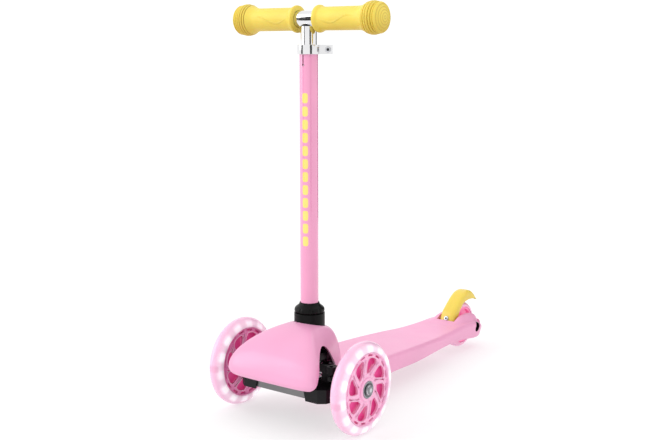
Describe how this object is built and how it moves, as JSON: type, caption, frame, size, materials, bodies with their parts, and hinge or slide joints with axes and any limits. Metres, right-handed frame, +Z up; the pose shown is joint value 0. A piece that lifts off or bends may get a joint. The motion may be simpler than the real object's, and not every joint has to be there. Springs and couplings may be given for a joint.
{
  "type": "child's three-wheeled kick scooter",
  "caption": "Child's lean-to-steer kick scooter with a height-adjustable T-bar, two large light-up front wheels, a low deck and a rear wheel under a foot brake.",
  "frame": {"origin": "on the floor, under the middle of the scooter's length and width", "axes": "+Z up along the handlebar column, -Y the way the rider faces, +X to the rider's left"},
  "size_m": [0.232, 0.526, 0.539],
  "materials": {
    "deck": "moulded satin pink",
    "hood_cover": "moulded satin pink",
    "steering_block": "black glass-filled nylon",
    "block_screw_left": "zinc plated",
    "block_screw_right": "zinc plated",
    "lean_bolt": "zinc plated",
    "column_socket": "black nylon",
    "collar_nut": "black nylon with grip ribs",
    "lower_tube": "gloss pink powder coat",
    "clamp_collar": "polished",
    "clamp_bolt": "zinc plated",
    "clamp_nut": "zinc plated",
    "rear_axle_bolt": "zinc plated",
    "rear_axle_nut": "zinc plated",
    "rear_spacer_left": "zinc plated",
    "rear_spacer_right": "zinc plated",
    "brake_pin": "zinc plated",
    "brake_spring": "zinc plated",
    "inner_tube": "polished",
    "tube_plug": "black nylon",
    "crossbar": "polished",
    "grip_left": "soft yellow thermoplastic rubber",
    "grip_right": "soft yellow thermoplastic rubber",
    "crossmember": "satin extrusion",
    "pivot_saddle": "cast",
    "end_fork_left": "black nylon",
    "end_fork_right": "black nylon",
    "kingpin_left": "zinc plated",
    "kingpin_right": "zinc plated",
    "centring_spring_left": "zinc plated",
    "centring_spring_right": "zinc plated",
    "tie_bar": "black nylon",
    "knuckle_left": "black nylon",
    "axle_bolt_left": "zinc plated",
    "knuckle_right": "black nylon",
    "axle_bolt_right": "zinc plated",
    "tyre_left": "translucent cast polyurethane with lights inside",
    "hub_outer_left": "light pink",
    "hub_inner_left": "light pink",
    "light_core_left": "clear magenta",
    "bearing_outer_left": "zinc plated",
    "bearing_inner_left": "zinc plated",
    "tyre_right": "translucent cast polyurethane with lights inside",
    "hub_outer_right": "light pink",
    "hub_inner_right": "light pink",
    "light_core_right": "clear magenta",
    "bearing_outer_right": "zinc plated",
    "bearing_inner_right": "zinc plated",
    "rear_tyre": "pale pink cast polyurethane",
    "rear_hub": "magenta",
    "rear_bearing_left": "zinc plated",
    "rear_bearing_right": "zinc plated",
    "brake_lever": "satin yellow",
    "brake_pad": "matt",
    "brake_screw": "zinc plated"
  },
  "bodies": {
    "deck": {"deck": "deck", "hood_cover": "hood_cover", "steering_block": "steering_block", "block_screw_left": "block_screw_left", "block_screw_right": "block_screw_right", "lean_bolt": "lean_bolt", "column_socket": "column_socket", "collar_nut": "collar_nut", "lower_tube": "lower_tube", "clamp_collar": "clamp_collar", "clamp_bolt": "clamp_bolt", "clamp_nut": "clamp_nut", "rear_axle_bolt": "rear_axle_bolt", "rear_axle_nut": "rear_axle_nut", "rear_spacer_left": "rear_spacer_left", "rear_spacer_right": "rear_spacer_right", "brake_pin": "brake_pin", "brake_spring": "brake_spring"},
    "handlebar": {"inner_tube": "inner_tube", "tube_plug": "tube_plug", "crossbar": "crossbar", "grip_left": "grip_left", "grip_right": "grip_right"},
    "front_axle": {"crossmember": "crossmember", "pivot_saddle": "pivot_saddle", "end_fork_left": "end_fork_left", "end_fork_right": "end_fork_right", "kingpin_left": "kingpin_left", "kingpin_right": "kingpin_right", "centring_spring_left": "centring_spring_left", "centring_spring_right": "centring_spring_right"},
    "tie_bar": {"tie_bar": "tie_bar"},
    "knuckle_left": {"knuckle_left": "knuckle_left", "axle_bolt_left": "axle_bolt_left"},
    "knuckle_right": {"knuckle_right": "knuckle_right", "axle_bolt_right": "axle_bolt_right"},
    "wheel_left": {"tyre_left": "tyre_left", "hub_outer_left": "hub_outer_left", "hub_inner_left": "hub_inner_left", "light_core_left": "light_core_left", "bearing_outer_left": "bearing_outer_left", "bearing_inner_left": "bearing_inner_left"},
    "wheel_right": {"tyre_right": "tyre_right", "hub_outer_right": "hub_outer_right", "hub_inner_right": "hub_inner_right", "light_core_right": "light_core_right", "bearing_outer_right": "bearing_outer_right", "bearing_inner_right": "bearing_inner_right"},
    "rear_wheel": {"rear_tyre": "rear_tyre", "rear_hub": "rear_hub", "rear_bearing_left": "rear_bearing_left", "rear_bearing_right": "rear_bearing_right"},
    "foot_brake": {"brake_lever": "brake_lever", "brake_pad": "brake_pad", "brake_screw": "brake_screw"}
  },
  "joints": [
    {"name": "bar_height", "type": "slide", "parent": "deck", "child": "handlebar", "axis": [0, 0, 1], "range_m": [0, 0.12]},
    {"name": "lean", "type": "hinge", "parent": "deck", "child": "front_axle", "pos_m": [0, -0.19555, 0.064], "axis": [0, 1, 0], "range_deg": [-10, 10], "stiffness_Nm_per_rad": 30, "deforming": ["centring_spring_left", "centring_spring_right"]},
    {"name": "tie_slide", "type": "slide", "parent": "front_axle", "child": "tie_bar", "axis": [1, 0, 0], "range_m": [-0.0036, 0.0036]},
    {"name": "steer_left", "type": "hinge", "parent": "front_axle", "child": "knuckle_left", "pos_m": [0.07, -0.19555, 0.0605], "axis": [0, 0, 1], "range_deg": [-9, 9]},
    {"name": "steer_right", "type": "hinge", "parent": "front_axle", "child": "knuckle_right", "pos_m": [-0.07, -0.19555, 0.0605], "axis": [0, 0, 1], "range_deg": [-9, 9]},
    {"name": "spin_left", "type": "hinge", "parent": "knuckle_left", "child": "wheel_left", "pos_m": [0.1, -0.19555, 0.06], "axis": [1, 0, 0], "continuous": true},
    {"name": "spin_right", "type": "hinge", "parent": "knuckle_right", "child": "wheel_right", "pos_m": [-0.1, -0.19555, 0.06], "axis": [1, 0, 0], "continuous": true},
    {"name": "spin_rear", "type": "hinge", "parent": "deck", "child": "rear_wheel", "pos_m": [0, 0.22445, 0.037], "axis": [1, 0, 0], "continuous": true},
    {"name": "brake_press", "type": "hinge", "parent": "deck", "child": "foot_brake", "pos_m": [0, 0.18095, 0.043], "axis": [-1, 0, 0], "range_deg": [0, 1.7], "stiffness_Nm_per_rad": 1.5, "springref_deg": -8.59}
  ],
  "couplings": [
    {"joint": "tie_slide", "follows": "lean", "m_per_rad": -0.02},
    {"joint": "steer_left", "follows": "lean", "ratio": -0.8696},
    {"joint": "steer_right", "follows": "lean", "ratio": -0.8696}
  ]
}
